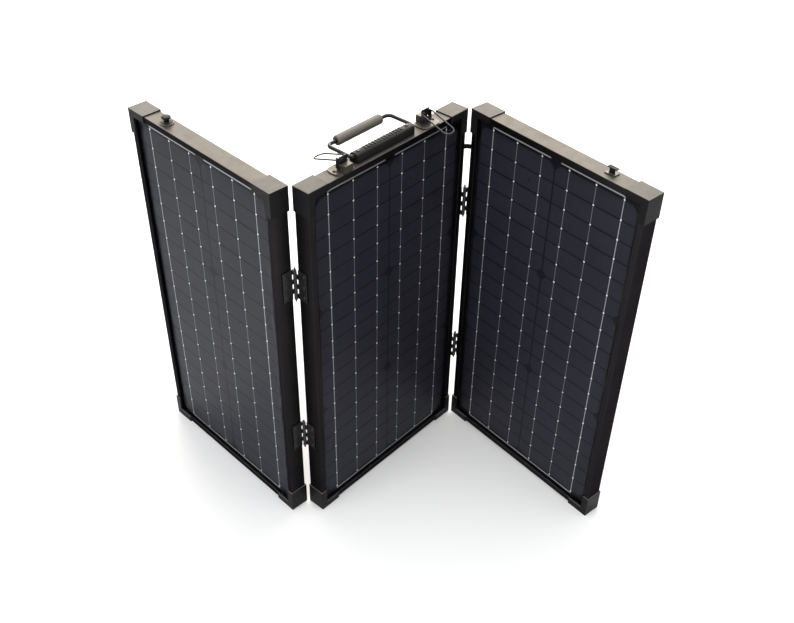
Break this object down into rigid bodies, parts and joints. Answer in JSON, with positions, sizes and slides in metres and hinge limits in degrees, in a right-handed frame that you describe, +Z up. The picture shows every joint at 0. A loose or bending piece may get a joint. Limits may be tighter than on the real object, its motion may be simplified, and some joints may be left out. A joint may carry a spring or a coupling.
{
  "type": "folding solar panel",
  "caption": "Folding solar panel: framed glass panels hinged into a zig-zag, with corner caps, a swing handle and toggle latches on the middle top rail.",
  "frame": {"origin": "on the floor, under the middle of the whole object's box", "axes": "+Z up; the middle panel runs along X and faces -Y; the left panel folds back to +Y and the right panel forward to -Y"},
  "size_m": [0.4258, 0.7476, 0.6819],
  "materials": {
    "frame_rails": "black anodised, satin, extruded",
    "corner_caps": "moulded black plastic, satin",
    "glass": "tempered clear glass, flat and glossy",
    "cell_laminate": "dark silicon cells and grey ribbons under a film",
    "junction_plastic": "moulded black plastic",
    "hinge_steel": "black coated steel",
    "handle_plastic": "moulded black plastic",
    "handle_rod": "black coated steel rod",
    "grip_rubber": "worn grey-brown rubber",
    "latch_plate": "pressed steel, worn grey",
    "latch_lever": "black coated pressed steel",
    "latch_wire": "drawn steel wire",
    "catch_plastic": "black moulded plastic",
    "cable_jacket": "black cable jacket"
  },
  "bodies": {
    "middle_panel": {"far_latch_base": "latch_plate", "handle_base": "handle_plastic", "left_lower_hinge_middle_leaf": "hinge_steel", "left_lower_hinge_pin": "hinge_steel", "left_upper_hinge_middle_leaf": "hinge_steel", "left_upper_hinge_pin": "hinge_steel", "link_cable": "cable_jacket", "middle_bottom_rail": "frame_rails", "middle_cap_bottom_left": "corner_caps", "middle_cap_bottom_right": "corner_caps", "middle_cap_top_left": "corner_caps", "middle_cap_top_right": "corner_caps", "middle_cell_laminate": "cell_laminate", "middle_glass": "glass", "middle_junction_box": "junction_plastic", "middle_junction_lid": "junction_plastic", "middle_left_stile": "frame_rails", "middle_right_stile": "frame_rails", "middle_top_rail": "frame_rails", "near_latch_base": "latch_plate", "right_lower_hinge_middle_leaf": "hinge_steel", "right_lower_hinge_pin": "hinge_steel", "right_upper_hinge_middle_leaf": "hinge_steel", "right_upper_hinge_pin": "hinge_steel"},
    "left_panel": {"left_bottom_rail": "frame_rails", "left_cap_bottom_left": "corner_caps", "left_cap_bottom_right": "corner_caps", "left_cap_top_left": "corner_caps", "left_cap_top_right": "corner_caps", "left_catch": "catch_plastic", "left_cell_laminate": "cell_laminate", "left_glass": "glass", "left_junction_box": "junction_plastic", "left_junction_lid": "junction_plastic", "left_left_stile": "frame_rails", "left_lower_hinge_outer_leaf": "hinge_steel", "left_right_stile": "frame_rails", "left_top_rail": "frame_rails", "left_upper_hinge_outer_leaf": "hinge_steel"},
    "right_panel": {"right_bottom_rail": "frame_rails", "right_cap_bottom_left": "corner_caps", "right_cap_bottom_right": "corner_caps", "right_cap_top_left": "corner_caps", "right_cap_top_right": "corner_caps", "right_catch": "catch_plastic", "right_cell_laminate": "cell_laminate", "right_glass": "glass", "right_junction_box": "junction_plastic", "right_junction_lid": "junction_plastic", "right_left_stile": "frame_rails", "right_lower_hinge_outer_leaf": "hinge_steel", "right_right_stile": "frame_rails", "right_top_rail": "frame_rails", "right_upper_hinge_outer_leaf": "hinge_steel"},
    "handle": {"handle_bail": "handle_rod", "handle_grip": "grip_rubber"},
    "near_latch_lever": {"near_latch_lever": "latch_lever"},
    "near_latch_loop": {"near_latch_loop": "latch_wire"},
    "far_latch_lever": {"far_latch_lever": "latch_lever"},
    "far_latch_loop": {"far_latch_loop": "latch_wire"}
  },
  "joints": [
    {"name": "left_fold", "type": "hinge", "parent": "middle_panel", "child": "left_panel", "pos_m": [-0.1783, 0.01782, 0.33], "axis": [0, 0, 1], "range_deg": [-86.5, 93.5]},
    {"name": "right_fold", "type": "hinge", "parent": "middle_panel", "child": "right_panel", "pos_m": [0.1787, -0.01778, 0.33], "axis": [0, 0, 1], "range_deg": [-82.5, 97.5], "deforming": ["link_cable"]},
    {"name": "handle_swing", "type": "hinge", "parent": "middle_panel", "child": "handle", "pos_m": [-0.0058, 0.00002, 0.6684], "axis": [1, 0, 0], "range_deg": [0, 180]},
    {"name": "near_lever_turn", "type": "hinge", "parent": "middle_panel", "child": "near_latch_lever", "pos_m": [-0.0938, 0.00002, 0.665], "axis": [-1, 0, 0], "range_deg": [0, 92]},
    {"name": "near_loop_swing", "type": "hinge", "parent": "near_latch_lever", "child": "near_latch_loop", "pos_m": [-0.0938, -0.0004, 0.67699], "axis": [-1, 0, 0], "range_deg": [-291.1, 0]},
    {"name": "far_lever_turn", "type": "hinge", "parent": "middle_panel", "child": "far_latch_lever", "pos_m": [0.0942, 0.00002, 0.665], "axis": [1, 0, 0], "range_deg": [0, 92]},
    {"name": "far_loop_swing", "type": "hinge", "parent": "far_latch_lever", "child": "far_latch_loop", "pos_m": [0.0942, 0.00044, 0.67699], "axis": [1, 0, 0], "range_deg": [-291.1, 0]}
  ],
  "couplings": [
    {"joint": "near_loop_swing", "follows": "near_lever_turn", "ratio": -3.162},
    {"joint": "far_loop_swing", "follows": "far_lever_turn", "ratio": -3.162}
  ]
}
